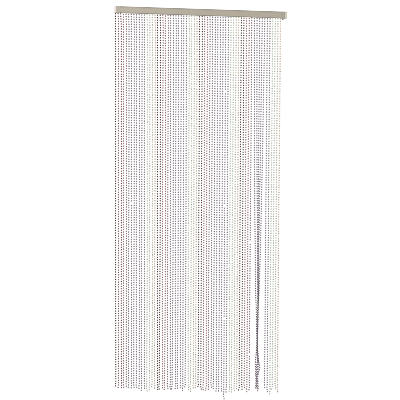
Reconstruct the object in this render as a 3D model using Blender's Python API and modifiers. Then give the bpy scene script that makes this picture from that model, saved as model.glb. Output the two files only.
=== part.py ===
"""A bead string door curtain hanging from its rail.

Metres, +Z up. The origin is the middle of the rail's flat back, the face that is fastened to a
door frame or wall. The front of the curtain faces -Y and +X is to its right.

The rail is a hollow channel with a slot along its underside and a moulded cap over each end. It
hangs a little crooked, so all that is fixed to it is laid out level in the rail's own frame and
then turned by RAIL_TILT. The strands hang plumb from it. A strand is a four-sided rod, slimmer
than its beads, with about two thirds of their plastic. The strands of one colour share a strip
that lies in the channel.
"""

import math
from typing import NamedTuple

import bmesh
import bpy
import numpy as np
from mathutils import Matrix, Vector

MM = 0.001

# The rail, with its section's width along Y and height along Z.
RAIL_SPAN = 900 * MM
RAIL_HEIGHT = 33 * MM
RAIL_DEPTH = 18 * MM
RAIL_WALL = 1.5 * MM
RAIL_CORNER = 2.5 * MM
RAIL_TILT = math.radians(1.316)
SLOT_WIDTH = 7 * MM
CORNER_STEPS = 4
# A shallow step runs along the front, just under the top edge.
STEP_DROP = 6 * MM
STEP_HEIGHT = 1.2 * MM
STEP_SINK = 0.5 * MM

# The caps. Each has a solid end and an apron that covers the rail's front and underside. Behind
# and on top they are flush with the rail, so that it can lie flat against a wall or a lintel.
FIT_GAP = 0.3 * MM
CAP_WALL = 0.9 * MM
CAP_END = 10.5 * MM
CAP_APRON = 21 * MM
CAP_ROUND = 0.8 * MM
CAP_ROUND_STEPS = 2
CAP_SHARP_EDGE = math.radians(60)
CAP_SLOT_WIDTH = 8 * MM

# The strip that the strands of one colour hang from, lying on the channel's lips.
STRIP_DEEP = 12 * MM
STRIP_THICK = 2 * MM
STRIP_REACH = 4.5 * MM

# The strands. The last seat holds only a stub with one bead left on it.
STRAND_PITCH = 13.652 * MM
FIRST_STRAND = -443.25 * MM
STRAND_COUNT = 64
STRAND_DROP = 1973 * MM
STRAND_RADIUS = 2.28 * MM
MOUTH_DROP = 2 * MM
STUB_DROP = 9 * MM
STUB_LEAN = -2.6 * MM
# The first strand is threaded beside the cap and slips out under the rail's end.
FIRST_SEAT_SHIFT = 8.8 * MM
FIRST_SEAT_DROP = 8 * MM

# How much lower or higher than the rest some strands end.
UNEVEN_ENDS = (
    (45 * MM, (42,)),
    (20 * MM, (60,)),
    (10 * MM, (10, 12, 13)),
    (8 * MM, (26, 28, 29, 39, 40, 41, 43, 44, 45, 46, 51)),
    (-7 * MM, (4, 18, 23, 24, 25, 27, 38, 47)),
    (-11 * MM, (14, 30, 31, 37, 61, 62)),
    (-18 * MM, (32, 50, 54, 58)),
)

# A slow sway down the whole strand, and a kink in its last few beads.
SWAY = 0.7 * MM
SWAY_WAVE = 1.3
KINK = 3.2 * MM
KINK_LENGTH = 60 * MM
KINK_TURNS = 1.1
GOLDEN_TURN = math.pi * (3 - math.sqrt(5))
SWAY_FRACTIONS = (0.22, 0.47, 0.72)
KINK_FRACTIONS = (0.0, 0.35, 0.7, 1.0)

# Five neighbours are tangled. They close up to a rope, which bulges and opens near its end.
TANGLED = (53, 54, 55, 56, 57)
TANGLE_MIDDLE = 55


class TangleSection(NamedTuple):
    """Where the tangled strands are at one height, in millimetres.

    The places are those of the five strands of TANGLED in turn. Across is counted from the line
    on which strand TANGLE_MIDDLE would hang, and depth from the curtain's plane.
    """

    drop: float
    across: tuple
    depth: tuple


TANGLE = (
    TangleSection(0, (-27.3, -13.65, 0, 13.65, 27.3), (0, 0, 0, 0, 0)),
    TangleSection(260, (-25.0, -12.2, 0.6, 12.2, 25.2), (0, 0, 0, 0, 0)),
    TangleSection(570, (-22.6, -10.1, 0.2, 10.2, 21.8), (0, 0, 0, 0, 0)),
    TangleSection(730, (-21.4, -8.3, 0.8, 10.2, 20.6), (0, 0.5, 0, -0.5, 0)),
    TangleSection(890, (-19.6, -6.4, 0.9, 7.4, 18.1), (0, 1.5, 0, -1.5, 0)),
    TangleSection(1045, (-17.3, -3.6, 1.5, 6.2, 16.0), (0, 3.5, 0, -3.5, -1)),
    TangleSection(1205, (-13.8, -1.3, 1.3, 4.0, 13.2), (1, 4.6, 0, -4.6, -4)),
    TangleSection(1365, (-11.2, 0.0, 2.1, 4.2, 9.5), (5, 4.8, 0, -4.8, -7)),
    TangleSection(1445, (-9.2, 1.6, 3.6, 4.6, 6.8), (8, 5.0, 0.2, -4.9, -9.6)),
    TangleSection(1525, (-5.4, 2.0, 4.2, 2.2, 4.0), (9, 4.9, 0.0, -4.9, -10.0)),
    TangleSection(1605, (-3.6, 1.4, 3.6, 1.4, 3.4), (9.2, 5.0, -0.1, -5.2, -10.3)),
    TangleSection(1685, (-1.2, 1.6, -0.4, 1.8, -0.2), (9.6, 4.9, -0.2, -5.3, -10.4)),
    TangleSection(1735, (-1.4, 1.3, -0.8, 1.6, -0.6), (9.4, 4.8, -0.2, -5.2, -10.1)),
    TangleSection(1765, (-3.2, 1.0, 0.2, 5.0, 1.2), (8, 4.6, -0.6, -3.4, -7.8)),
    TangleSection(1812, (-7.7, 3.0, 3.5, 8.8, 6.4), (6, 4.6, -0.7, -2.6, -7.6)),
    TangleSection(1829, (-7.6, -0.6, 3.1, 13.8, 7.0), (6, 4.5, -0.6, -1.0, -6.2)),
    TangleSection(1845, (-7.0, -2.1, 2.7, 15.5, 5.6), (5.6, 3.6, -0.5, 0.0, -6.2)),
    TangleSection(1861, (-6.8, -1.0, 3.0, 12.9, 7.0), (5.6, 3.6, -0.5, 0.0, -6.0)),
    TangleSection(1877, (-7.0, -1.5, 2.2, 7.2, 4.6), (5.6, 3.9, -1.0, 1.2, -6.3)),
    TangleSection(1893, (-5.0, -0.8, 1.8, 6.0, 3.6), (6.8, 3.6, -1.1, 2.0, -6.3)),
    TangleSection(1925, (-3.2, 0.2, 1.6, 6.0, 3.8), (7.4, 3.3, -1.9, 1.2, -7.0)),
    TangleSection(1941, (-5.0, -0.5, 1.0, 7.0, 3.2), (6.2, 3.2, -2.0, 0.0, -7.0)),
    TangleSection(1973, (-9.0, -2.5, 1.5, 8.0, 4.0), (4.0, 2.8, -1.5, 0.0, -6.5)),
)


class Band(NamedTuple):
    """A run of neighbouring strands of one colour."""

    name: str
    strands: int
    colour: tuple


BANDS = (
    Band("wine", 2, (0.16, 0.06, 0.07, 1)),
    Band("rose", 3, (0.42, 0.22, 0.24, 1)),
    Band("lilac", 7, (0.34, 0.29, 0.36, 1)),
    Band("green", 2, (0.55, 0.62, 0.50, 1)),
    Band("amber", 2, (0.66, 0.52, 0.38, 1)),
)

RAIL_COLOUR = (0.47, 0.42, 0.33, 1)
RAIL_ROUGHNESS = 0.45
RAIL_METALLIC = 0.6
CAP_COLOUR = (0.66, 0.65, 0.60, 1)
CAP_ROUGHNESS = 0.35
BEAD_ROUGHNESS = 0.25

RAIL_FRAME = Matrix.Rotation(RAIL_TILT, 4, "Y")
# An outline is drawn in X and Y and extruded along Z. This turns those to Y, Z and X.
ALONG_RAIL = Matrix(((0, 0, 1, 0), (1, 0, 0, 0), (0, 1, 0, 0), (0, 0, 0, 1)))


def clear_scene():
    """Removes every object of the scene."""
    for obj in list(bpy.data.objects):
        bpy.data.objects.remove(obj, do_unlink=True)


def new_collection(name):
    """Makes a collection and links it to the scene."""
    collection = bpy.data.collections.new(name)
    bpy.context.scene.collection.children.link(collection)
    return collection


def plastic(name, colour, roughness, metallic=0.0):
    """Makes a material with a plain Principled BSDF."""
    material = bpy.data.materials.new(name)
    material.use_nodes = True
    shader = material.node_tree.nodes["Principled BSDF"]
    shader.inputs["Base Color"].default_value = colour
    shader.inputs["Roughness"].default_value = roughness
    shader.inputs["Metallic"].default_value = metallic
    return material


def mesh_from_curve(name, curve, collection):
    """Turns curve data into a mesh object with its caps welded and its faces pointing out."""
    guide = bpy.data.objects.new(name + "_curve", curve)
    collection.objects.link(guide)
    graph = bpy.context.evaluated_depsgraph_get()
    mesh = bpy.data.meshes.new_from_object(guide.evaluated_get(graph))
    bpy.data.objects.remove(guide)
    welded = bmesh.new()
    welded.from_mesh(mesh)
    bmesh.ops.remove_doubles(welded, verts=welded.verts, dist=0.001 * MM)
    bmesh.ops.recalc_face_normals(welded, faces=welded.faces)
    welded.to_mesh(mesh)
    welded.free()
    obj = bpy.data.objects.new(name, mesh)
    collection.objects.link(obj)
    return obj


def extruded(name, outline, length, collection):
    """Extrudes a closed outline of the rail's section, given as (Y, Z) points, along X."""
    curve = bpy.data.curves.new(name, "CURVE")
    curve.dimensions = "2D"
    curve.fill_mode = "BOTH"
    curve.extrude = length / 2
    spline = curve.splines.new("POLY")
    spline.points.add(len(outline) - 1)
    for point, (across, up) in zip(spline.points, outline):
        point.co = (across, up, 0, 1)
    spline.use_cyclic_u = True
    obj = mesh_from_curve(name, curve, collection)
    obj.data.transform(ALONG_RAIL)
    return obj


def box(name, size, collection):
    """Makes a box from a cube primitive, centred on its object's origin."""
    mesh = bpy.data.meshes.new(name)
    cube = bmesh.new()
    bmesh.ops.create_cube(cube, size=1)
    bmesh.ops.scale(cube, vec=size, verts=cube.verts)
    cube.to_mesh(mesh)
    cube.free()
    obj = bpy.data.objects.new(name, mesh)
    collection.objects.link(obj)
    return obj


def arc(centre_y, centre_z, radius, start, end):
    """Points of an arc between two angles in degrees, both ends included."""
    angles = np.radians(np.linspace(start, end, CORNER_STEPS + 1))
    return [(centre_y + radius * math.cos(angle), centre_z + radius * math.sin(angle)) for angle in angles]


def rounded_outline(front=0.0, back=0.0, bottom=0.0, top=0.0):
    """The rail's outer outline without its slot, each side moved outwards by its own margin.

    The corners run front bottom, front top, back top and back bottom, clockwise for someone who
    looks at the rail's right end.
    """
    front_centre = -RAIL_DEPTH - front + RAIL_CORNER
    back_centre = back - RAIL_CORNER
    bottom_centre = -RAIL_HEIGHT / 2 - bottom + RAIL_CORNER
    top_centre = RAIL_HEIGHT / 2 + top - RAIL_CORNER
    return (
        arc(front_centre, bottom_centre, RAIL_CORNER, 270, 180)
        + arc(front_centre, top_centre, RAIL_CORNER, 180, 90)
        + arc(back_centre, top_centre, RAIL_CORNER, 90, 0)
        + arc(back_centre, bottom_centre, RAIL_CORNER, 0, -90)
    )


def rail_outline():
    """The channel's section: round the outside from one lip of the slot to the other, then back inside."""
    middle = -RAIL_DEPTH / 2
    bottom = -RAIL_HEIGHT / 2
    front = -RAIL_DEPTH
    step_top = RAIL_HEIGHT / 2 - STEP_DROP
    front_step = [
        (front, step_top - STEP_HEIGHT),
        (front + STEP_SINK, step_top - STEP_HEIGHT + STEP_SINK),
        (front + STEP_SINK, step_top),
        (front, step_top),
    ]
    around = rounded_outline()
    first_corner = CORNER_STEPS + 1
    outside = (
        [(middle - SLOT_WIDTH / 2, bottom)]
        + around[:first_corner]
        + front_step
        + around[first_corner:]
        + [(middle + SLOT_WIDTH / 2, bottom)]
    )
    inside = [
        (middle + SLOT_WIDTH / 2, bottom + RAIL_WALL),
        (-RAIL_WALL, bottom + RAIL_WALL),
        (-RAIL_WALL, -bottom - RAIL_WALL),
        (front + RAIL_WALL, -bottom - RAIL_WALL),
        (front + RAIL_WALL, bottom + RAIL_WALL),
        (middle - SLOT_WIDTH / 2, bottom + RAIL_WALL),
    ]
    return outside + inside


def as_cutter(obj):
    """Marks an object as a helper that is not part of the curtain."""
    obj.hide_render = True
    obj.display_type = "WIRE"
    return obj


def combine(obj, helper, operation):
    """Adds a Boolean modifier, after the mesh's other modifiers."""
    modifier = obj.modifiers.new(operation.lower() + "_" + helper.name, "BOOLEAN")
    modifier.operation = operation
    modifier.object = helper
    modifier.solver = "EXACT"


def build_rail(parts, frame, material):
    """The channel, as long as the space between the two caps' solid ends."""
    length = RAIL_SPAN - 2 * (CAP_END + FIT_GAP)
    rail = extruded("rail", rail_outline(), length, parts)
    rail.data.materials.append(material)
    rail.parent = frame
    return rail


def build_cap(name, side, parts, cutters, frame, material):
    """One end cap: a block with a pocket for the rail and a slot for the strands.

    The side is 1 for the right end of the rail and -1 for the left one. The pocket's cutter runs
    out behind, above and past the cap, which leaves the apron in front and below.
    """
    length = CAP_END + CAP_APRON
    proud = FIT_GAP + CAP_WALL
    cap = extruded(name, rounded_outline(front=proud, bottom=proud), length, parts)
    cap.data.materials.append(material)
    cap.location.x = side * (RAIL_SPAN - length) / 2
    cap.parent = frame
    rounding = cap.modifiers.new("rounding", "BEVEL")
    rounding.width = CAP_ROUND
    rounding.segments = CAP_ROUND_STEPS
    rounding.limit_method = "ANGLE"
    rounding.angle_limit = CAP_SHARP_EDGE

    past = CAP_APRON
    pocket_outline = rounded_outline(front=FIT_GAP, back=past, bottom=FIT_GAP, top=past)
    pocket = as_cutter(extruded(name + "_pocket", pocket_outline, CAP_APRON + past, cutters))
    slot = as_cutter(box(name + "_slot", (CAP_APRON + past, CAP_SLOT_WIDTH, RAIL_HEIGHT / 2), cutters))
    inner_end = RAIL_SPAN / 2 - CAP_END
    pocket.location.x = side * (inner_end - (CAP_APRON + past) / 2)
    slot.location = (pocket.location.x, -RAIL_DEPTH / 2, -RAIL_HEIGHT / 2)
    for helper in (pocket, slot):
        helper.parent = frame
        combine(cap, helper, "DIFFERENCE")
    return cap


def strand_end(number):
    """How far below the rail a strand ends."""
    for extra, strands in UNEVEN_ENDS:
        if number in strands:
            return STRAND_DROP + extra
    return STRAND_DROP


def hang_line(number):
    """The point on the rail's underside from which a strand's plumb line drops."""
    along = FIRST_STRAND + STRAND_PITCH * number
    return RAIL_FRAME @ Vector((along, -RAIL_DEPTH / 2, -RAIL_HEIGHT / 2))


def tangle_place(number, drop):
    """Where a tangled strand is at a drop below the rail, as a shift across and in depth.

    The table's sections are joined by straight lines.
    """
    turn = TANGLED.index(number)
    drops = [section.drop * MM for section in TANGLE]
    across = np.interp(drop, drops, [section.across[turn] * MM for section in TANGLE])
    depth = np.interp(drop, drops, [section.depth[turn] * MM for section in TANGLE])
    return across, depth


def free_place(number, drop):
    """The sway and the end kink of a strand that hangs free, as a shift across and in depth."""
    phase = number * GOLDEN_TURN
    length = strand_end(number)
    sway = SWAY * math.sin(phase + SWAY_WAVE * math.tau * drop / length) * drop / length
    into_kink = max(0.0, 1 - (length - drop) / KINK_LENGTH)
    kink = KINK * into_kink * math.sin(2 * phase + KINK_TURNS * math.tau * into_kink)
    depth_kink = KINK * into_kink * math.cos(3 * phase + KINK_TURNS * math.tau * into_kink)
    return sway + kink, depth_kink / 2


def strand_path(number):
    """The points that a strand follows, from inside its strip down to its last bead."""
    seat_shift = FIRST_SEAT_SHIFT if number == 0 else 0.0
    along = FIRST_STRAND + STRAND_PITCH * number + seat_shift
    strip_middle = -RAIL_HEIGHT / 2 + RAIL_WALL + FIT_GAP + STRIP_THICK / 2
    path = [
        RAIL_FRAME @ Vector((along, -RAIL_DEPTH / 2, strip_middle)),
        RAIL_FRAME @ Vector((along, -RAIL_DEPTH / 2, -RAIL_HEIGHT / 2 - MOUTH_DROP)),
    ]
    if number == STRAND_COUNT:
        return path + [hang_line(number) + Vector((STUB_LEAN, 0, -STUB_DROP))]
    end = strand_end(number)
    if number in TANGLED:
        top = hang_line(TANGLE_MIDDLE)
        top.z = hang_line(number).z
        drops = [section.drop * MM for section in TANGLE[1:] if section.drop * MM < end] + [end]
    else:
        top = hang_line(number)
        kinks = [end - KINK_LENGTH * (1 - fraction) for fraction in KINK_FRACTIONS]
        drops = [end * fraction for fraction in SWAY_FRACTIONS] + kinks
    if number == 0:
        drops.insert(0, FIRST_SEAT_DROP)
    place = tangle_place if number in TANGLED else free_place
    for drop in drops:
        across, depth = place(number, drop)
        path.append(top + Vector((across, depth, -drop)))
    return path


def strand_rods(name, numbers, cutters):
    """The rods of a band's strands, as one mesh of separate four-sided tubes."""
    curve = bpy.data.curves.new(name, "CURVE")
    curve.dimensions = "3D"
    curve.twist_mode = "MINIMUM"
    curve.bevel_depth = STRAND_RADIUS
    curve.bevel_resolution = 0
    curve.use_fill_caps = True
    for number in numbers:
        path = strand_path(number)
        spline = curve.splines.new("POLY")
        spline.points.add(len(path) - 1)
        for point, place in zip(spline.points, path):
            point.co = (*place, 1)
    return as_cutter(mesh_from_curve(name, curve, cutters))


def build_run(name, numbers, parts, cutters, frame, material):
    """A strip lying in the channel, with a run of strands fused to it."""
    seats = [FIRST_STRAND + STRAND_PITCH * number for number in numbers]
    if numbers[0] == 0:
        seats[0] += FIRST_SEAT_SHIFT
    low = min(seats) - STRIP_REACH
    high = max(seats) + STRIP_REACH
    strip = box(name, (high - low, STRIP_DEEP, STRIP_THICK), parts)
    strip_middle = -RAIL_HEIGHT / 2 + RAIL_WALL + FIT_GAP + STRIP_THICK / 2
    strip.location = ((low + high) / 2, -RAIL_DEPTH / 2, strip_middle)
    strip.parent = frame
    strip.data.materials.append(material)
    combine(strip, strand_rods(name + "_rods", numbers, cutters), "UNION")
    return strip


def runs_of_strands():
    """The runs of strands from left to right: each one's name, band and strand numbers.

    The bands repeat to the rail's last seat. The tangled strands are a run of their own.
    """
    seat = 0
    repeat = 0
    while seat <= STRAND_COUNT:
        repeat += 1
        for band in BANDS:
            numbers = [number for number in range(seat, seat + band.strands) if number <= STRAND_COUNT]
            seat += band.strands
            tangled = [number for number in numbers if number in TANGLED]
            free = [number for number in numbers if number not in TANGLED]
            if tangled:
                yield "tangled_strands", band, tangled
            if free:
                yield f"{band.name}_strands_{repeat}", band, free


def build_curtain():
    """Builds the rail, its caps and every run of strands."""
    clear_scene()
    parts = new_collection("door_curtain")
    cutters = new_collection("cutters")
    frame = bpy.data.objects.new("rail_frame", None)
    frame.matrix_world = RAIL_FRAME
    parts.objects.link(frame)

    build_rail(parts, frame, plastic("rail_finish", RAIL_COLOUR, RAIL_ROUGHNESS, RAIL_METALLIC))
    cap_finish = plastic("cap_plastic", CAP_COLOUR, CAP_ROUGHNESS)
    build_cap("end_cap_left", -1, parts, cutters, frame, cap_finish)
    build_cap("end_cap_right", 1, parts, cutters, frame, cap_finish)

    finishes = {band.name: plastic(band.name + "_beads", band.colour, BEAD_ROUGHNESS) for band in BANDS}
    for name, band, numbers in runs_of_strands():
        build_run(name, numbers, parts, cutters, frame, finishes[band.name])


build_curtain()
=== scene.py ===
"""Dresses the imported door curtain: beads on clear threads, a satin rail and two milky end caps.

Metres, +Z up. The front faces -Y and the origin is the middle of the rail's flat back. The rail,
its caps and the strips inside it are laid out level in the rail's own frame and then turned by
its tilt. The strands hang plumb.
"""

import logging
from dataclasses import dataclass
from enum import Enum
from typing import Iterator, NamedTuple, Optional

import bpy
import numpy as np
from mathutils import Matrix


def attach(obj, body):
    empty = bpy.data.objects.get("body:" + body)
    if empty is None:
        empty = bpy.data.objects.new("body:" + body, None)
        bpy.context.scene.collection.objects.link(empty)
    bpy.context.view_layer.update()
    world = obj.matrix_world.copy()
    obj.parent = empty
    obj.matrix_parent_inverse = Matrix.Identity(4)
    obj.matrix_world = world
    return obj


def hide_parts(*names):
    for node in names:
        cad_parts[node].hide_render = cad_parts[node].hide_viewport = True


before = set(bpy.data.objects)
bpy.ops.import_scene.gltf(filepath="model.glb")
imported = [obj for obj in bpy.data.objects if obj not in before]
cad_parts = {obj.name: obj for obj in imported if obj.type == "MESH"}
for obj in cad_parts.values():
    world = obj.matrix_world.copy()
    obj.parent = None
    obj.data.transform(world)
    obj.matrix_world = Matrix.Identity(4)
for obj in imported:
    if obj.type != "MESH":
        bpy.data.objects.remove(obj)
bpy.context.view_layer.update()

log = logging.getLogger("door_curtain")
Array = np.ndarray
Triple = tuple[float, float, float]

MM = 0.001
TAU = 2 * np.pi
GOLDEN_TURN = np.pi * (3 - np.sqrt(5))
BODY = "root"

# How many straight parts an arc is cut into, and the small corners of the strips and caps.
ARC_STEPS = 8
CORNER_STEPS = 4

# How many times their usual size the random differences may reach.
CHANCE_LIMIT = 2


def new_object(name: str, data: bpy.types.ID) -> bpy.types.Object:
    """Makes an object from its data and links it to the scene."""
    made = bpy.data.objects.new(name, data)
    bpy.context.scene.collection.objects.link(made)
    return made


# Meshes

@dataclass
class Surface:
    """Points with polygons on them, and the place of their finish among the piece's materials."""

    points: Array
    faces: list[Array]
    finish: int = 0
    shade: Optional[Array] = None
    height: Optional[Array] = None


def make_piece(name: str, surfaces: list[Surface], materials: list[bpy.types.Material],
               sharp_angle: float = 35.0) -> bpy.types.Object:
    """Puts surfaces into one mesh object, which rides on the curtain's body.

    A surface's polygons are arrays with a row of corner numbers for each polygon. They count from
    its own first point, so its place in the joined list of points is added. The materials are in
    the order that Surface.finish counts. An edge is sharp where its faces turn by more than the
    sharp angle, in degrees.
    """
    firsts = np.cumsum([0] + [len(surface.points) for surface in surfaces])
    groups = [(rows + first, surface.finish)
              for surface, first in zip(surfaces, firsts) for rows in surface.faces]
    corners = np.concatenate([rows.ravel() for rows, _ in groups]).astype(np.int32)
    counts = np.concatenate([np.full(len(rows), rows.shape[1]) for rows, _ in groups])
    finishes = np.concatenate([np.full(len(rows), finish) for rows, finish in groups])
    mesh = bpy.data.meshes.new(name)
    mesh.vertices.add(firsts[-1])
    mesh.loops.add(len(corners))
    mesh.polygons.add(len(counts))
    points = np.concatenate([surface.points for surface in surfaces])
    mesh.vertices.foreach_set("co", points.astype(np.float32).ravel())
    mesh.loops.foreach_set("vertex_index", corners)
    mesh.polygons.foreach_set("loop_start", (np.cumsum(counts) - counts).astype(np.int32))
    mesh.polygons.foreach_set("material_index", finishes.astype(np.int32))
    mesh.update(calc_edges=True)
    mesh.shade_smooth()
    mesh.set_sharp_from_angle(angle=np.radians(sharp_angle))
    for label in ("shade", "height"):
        values = [getattr(surface, label) for surface in surfaces]
        if all(value is not None for value in values):
            attribute = mesh.attributes.new("bead_" + label, "FLOAT", "POINT")
            attribute.data.foreach_set("value", np.concatenate(values).astype(np.float32))
    for material in materials:
        mesh.materials.append(material)
    piece = new_object(name, mesh)
    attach(piece, BODY)
    log.info("%s: %d polygons", name, len(counts))
    return piece


def lathe_faces(rings: int, sides: int) -> list[Array]:
    """Quads between rings of points, and the two polygons that close the ends.

    The points are numbered ring by ring from the top, counterclockwise seen from above.
    """
    number = np.arange(rings * sides).reshape(rings, sides)
    after = np.roll(number, -1, axis=1)
    quads = np.stack([number[1:], after[1:], after[:-1], number[:-1]], axis=-1).reshape(-1, 4)
    ends = np.stack([number[0], number[-1][::-1]])
    return [quads, ends]


def swept(profile: Array, stations: Array, shrink: Optional[Array] = None) -> Surface:
    """Carries a closed profile of points (Y, Z) through rising stations along X.

    Point (i, j) is the profile's point j at station i, moved towards the profile's middle so that
    each side draws in by shrink[i]. The profile runs clockwise for someone who looks along +X.
    """
    low, high = profile.min(axis=0), profile.max(axis=0)
    middle, half = (low + high) / 2, (high - low) / 2
    draw = np.zeros(len(stations)) if shrink is None else shrink
    scale = 1 - draw[:, None] / half
    outline = middle + (profile - middle)[None] * scale[:, None]
    points = np.concatenate([np.broadcast_to(stations[:, None, None], outline.shape[:2] + (1,)),
                             outline], axis=2).reshape(-1, 3)
    faces = lathe_faces(len(stations), len(profile))
    return Surface(points, faces)


def arc(centre: tuple[float, float], radius: float, start: float, end: float,
        steps: int = ARC_STEPS) -> Array:
    """Points (Y, Z) of an arc between two angles in degrees, both ends included.

    Each is the centre plus the radius times the cosine and sine of its angle.
    """
    angles = np.radians(np.linspace(start, end, steps + 1))
    return np.array(centre) + radius * np.stack([np.cos(angles), np.sin(angles)], axis=1)


def rounded_outline(low: Array, high: Array, radius: float, steps: int = ARC_STEPS) -> Array:
    """The outline of a rounded rectangle between two opposite corners (Y, Z), as swept needs it."""
    left, bottom = low + radius
    right, top = high - radius
    return np.concatenate([
        arc((left, bottom), radius, 270, 180, steps),
        arc((left, top), radius, 180, 90, steps),
        arc((right, top), radius, 90, 0, steps),
        arc((right, bottom), radius, 0, -90, steps),
    ])


def rounded_box(low: Array, high: Array, radius: float) -> Surface:
    """A box with rounded long edges along X and drawn-in ends, from two opposite corners."""
    profile = rounded_outline(low[1:], high[1:], radius, CORNER_STEPS)
    turn = np.linspace(0, np.pi / 2, CORNER_STEPS + 1)
    rise = radius * (1 - np.cos(turn))
    draw = radius * (1 - np.sin(turn))
    stations = np.concatenate([low[0] + rise, high[0] - rise[::-1]])
    return swept(profile, stations, np.concatenate([draw, draw[::-1]]))


# Finishes

class Nodes:
    """Adds nodes to a node tree and links them."""

    def __init__(self, tree: bpy.types.NodeTree) -> None:
        """Starts with an empty tree."""
        self.tree = tree
        tree.nodes.clear()

    def add(self, kind: str, inputs: Optional[dict] = None, **properties) -> bpy.types.Node:
        """Adds one node with its own settings.

        Each named or numbered input gets a value, or an output socket to link to.
        """
        node = self.tree.nodes.new(kind)
        for name, value in properties.items():
            setattr(node, name, value)
        for name, value in (inputs or {}).items():
            if isinstance(value, bpy.types.NodeSocket):
                self.tree.links.new(value, node.inputs[name])
            else:
                node.inputs[name].default_value = value
        return node

    def maths(self, operation: str, *values, clamp: bool = False) -> bpy.types.NodeSocket:
        """Adds a Math node on one to three values or sockets and returns its output."""
        inputs = dict(enumerate(values))
        return self.add("ShaderNodeMath", inputs, operation=operation, use_clamp=clamp).outputs[0]


def new_material(name: str) -> tuple[bpy.types.Material, Nodes]:
    """Makes a material and gives its nodes, which are still empty."""
    material = bpy.data.materials.new(name)
    material.use_nodes = True
    return material, Nodes(material.node_tree)


def new_group(name: str, inputs: dict[str, str],
              outputs: dict[str, str]) -> tuple[Nodes, bpy.types.Node]:
    """Makes a node group from its sockets' names and types; gives its nodes and its input node."""
    tree = bpy.data.node_groups.new(name, "ShaderNodeTree")
    for direction, sockets in (("INPUT", inputs), ("OUTPUT", outputs)):
        for label, kind in sockets.items():
            tree.interface.new_socket(label, in_out=direction, socket_type=kind)
    nodes = Nodes(tree)
    return nodes, nodes.add("NodeGroupInput")


def tint_group() -> bpy.types.NodeTree:
    """Makes the group that lightens or deepens a colour by a shade from -1 to 1.

    The colour is multiplied by one plus the shade times the amount.
    """
    nodes, given = new_group(
        "tint_by_shade",
        {"Colour": "NodeSocketColor", "Shade": "NodeSocketFloat", "Amount": "NodeSocketFloat"},
        {"Colour": "NodeSocketColor"},
    )
    factor = nodes.maths("MULTIPLY_ADD", given.outputs["Shade"], given.outputs["Amount"], 1.0)
    tinted = nodes.add("ShaderNodeVectorMath", {0: given.outputs["Colour"], 1: factor},
                       operation="MULTIPLY")
    nodes.add("NodeGroupOutput", {"Colour": tinted.outputs[0]})
    return nodes.tree


def grain_group() -> bpy.types.NodeTree:
    """Makes the group of fine surface grain: noise in a stretched space, as a mask and a height.

    The mask runs from 0 to 1 and the height is the mask's swing about its middle, times the depth.
    """
    nodes, given = new_group(
        "surface_grain",
        {"Stretch": "NodeSocketVector", "Scale": "NodeSocketFloat", "Depth": "NodeSocketFloat"},
        {"Mask": "NodeSocketFloat", "Height": "NodeSocketFloat"},
    )
    place = nodes.add("ShaderNodeTexCoord").outputs["Object"]
    stretched = nodes.add("ShaderNodeVectorMath", {0: place, 1: given.outputs["Stretch"]},
                          operation="MULTIPLY").outputs[0]
    noise = nodes.add("ShaderNodeTexNoise", {
        "Vector": stretched, "Scale": given.outputs["Scale"], "Detail": 3.0, "Roughness": 0.55,
    }).outputs["Fac"]
    swing = nodes.maths("SUBTRACT", noise, 0.5)
    height = nodes.maths("MULTIPLY", swing, given.outputs["Depth"])
    nodes.add("NodeGroupOutput", {"Mask": noise, "Height": height})
    return nodes.tree


TINT = tint_group()
GRAIN = grain_group()


@dataclass(frozen=True)
class Finish:
    """A moulded or extruded surface with fine grain, and its look in numbers.

    The stretch and the scale shape the grain, and depth is its relief in metres. The mottle says
    how much a shade of 1 changes the colour, and grain_shade how far the grain's own shade goes.
    The polish says how much the grain changes the roughness.
    """

    name: str
    colour: Triple
    roughness: float
    metallic: float = 0.0
    stretch: Triple = (1.0, 1.0, 1.0)
    scale: float = 300.0
    depth: float = 0.02 * MM
    mottle: float = 0.06
    polish: float = 0.1
    alpha: float = 1.0
    milkiness: float = 0.0
    milk_reach: float = 2 * MM
    specular: float = 0.5
    grain_shade: float = 1.0

    def material(self) -> bpy.types.Material:
        """Builds the material: grain tints the base colour and drives roughness and bump."""
        material, nodes = new_material(self.name)
        grain = nodes.add("ShaderNodeGroup", {
            "Stretch": self.stretch, "Scale": self.scale, "Depth": self.depth,
        }, node_tree=GRAIN)
        shade = self.shade(nodes, grain.outputs["Mask"])
        tint = nodes.add("ShaderNodeGroup", {
            "Colour": (*self.colour, 1.0), "Shade": shade, "Amount": self.mottle,
        }, node_tree=TINT)
        rough = nodes.maths("MULTIPLY_ADD", grain.outputs["Mask"], self.polish,
                            self.roughness - self.polish / 2)
        bump = nodes.add("ShaderNodeBump", {"Height": grain.outputs["Height"], "Distance": 1.0})
        surface = nodes.add("ShaderNodeBsdfPrincipled", {
            "Base Color": tint.outputs["Colour"],
            "Roughness": rough,
            "Normal": bump.outputs["Normal"],
            "Metallic": self.metallic,
            "Alpha": self.alpha,
            "Specular IOR Level": self.specular,
            "Subsurface Weight": self.milkiness,
            "Subsurface Scale": self.milk_reach,
        })
        nodes.add("ShaderNodeOutputMaterial", {"Surface": surface.outputs["BSDF"]})
        return material

    def shade(self, nodes: Nodes, mask: bpy.types.NodeSocket) -> bpy.types.NodeSocket:
        """The shade that tints the colour: the grain's mask, spread from -grain_shade to it."""
        return nodes.maths("MULTIPLY_ADD", mask, 2 * self.grain_shade, -self.grain_shade)


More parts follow.
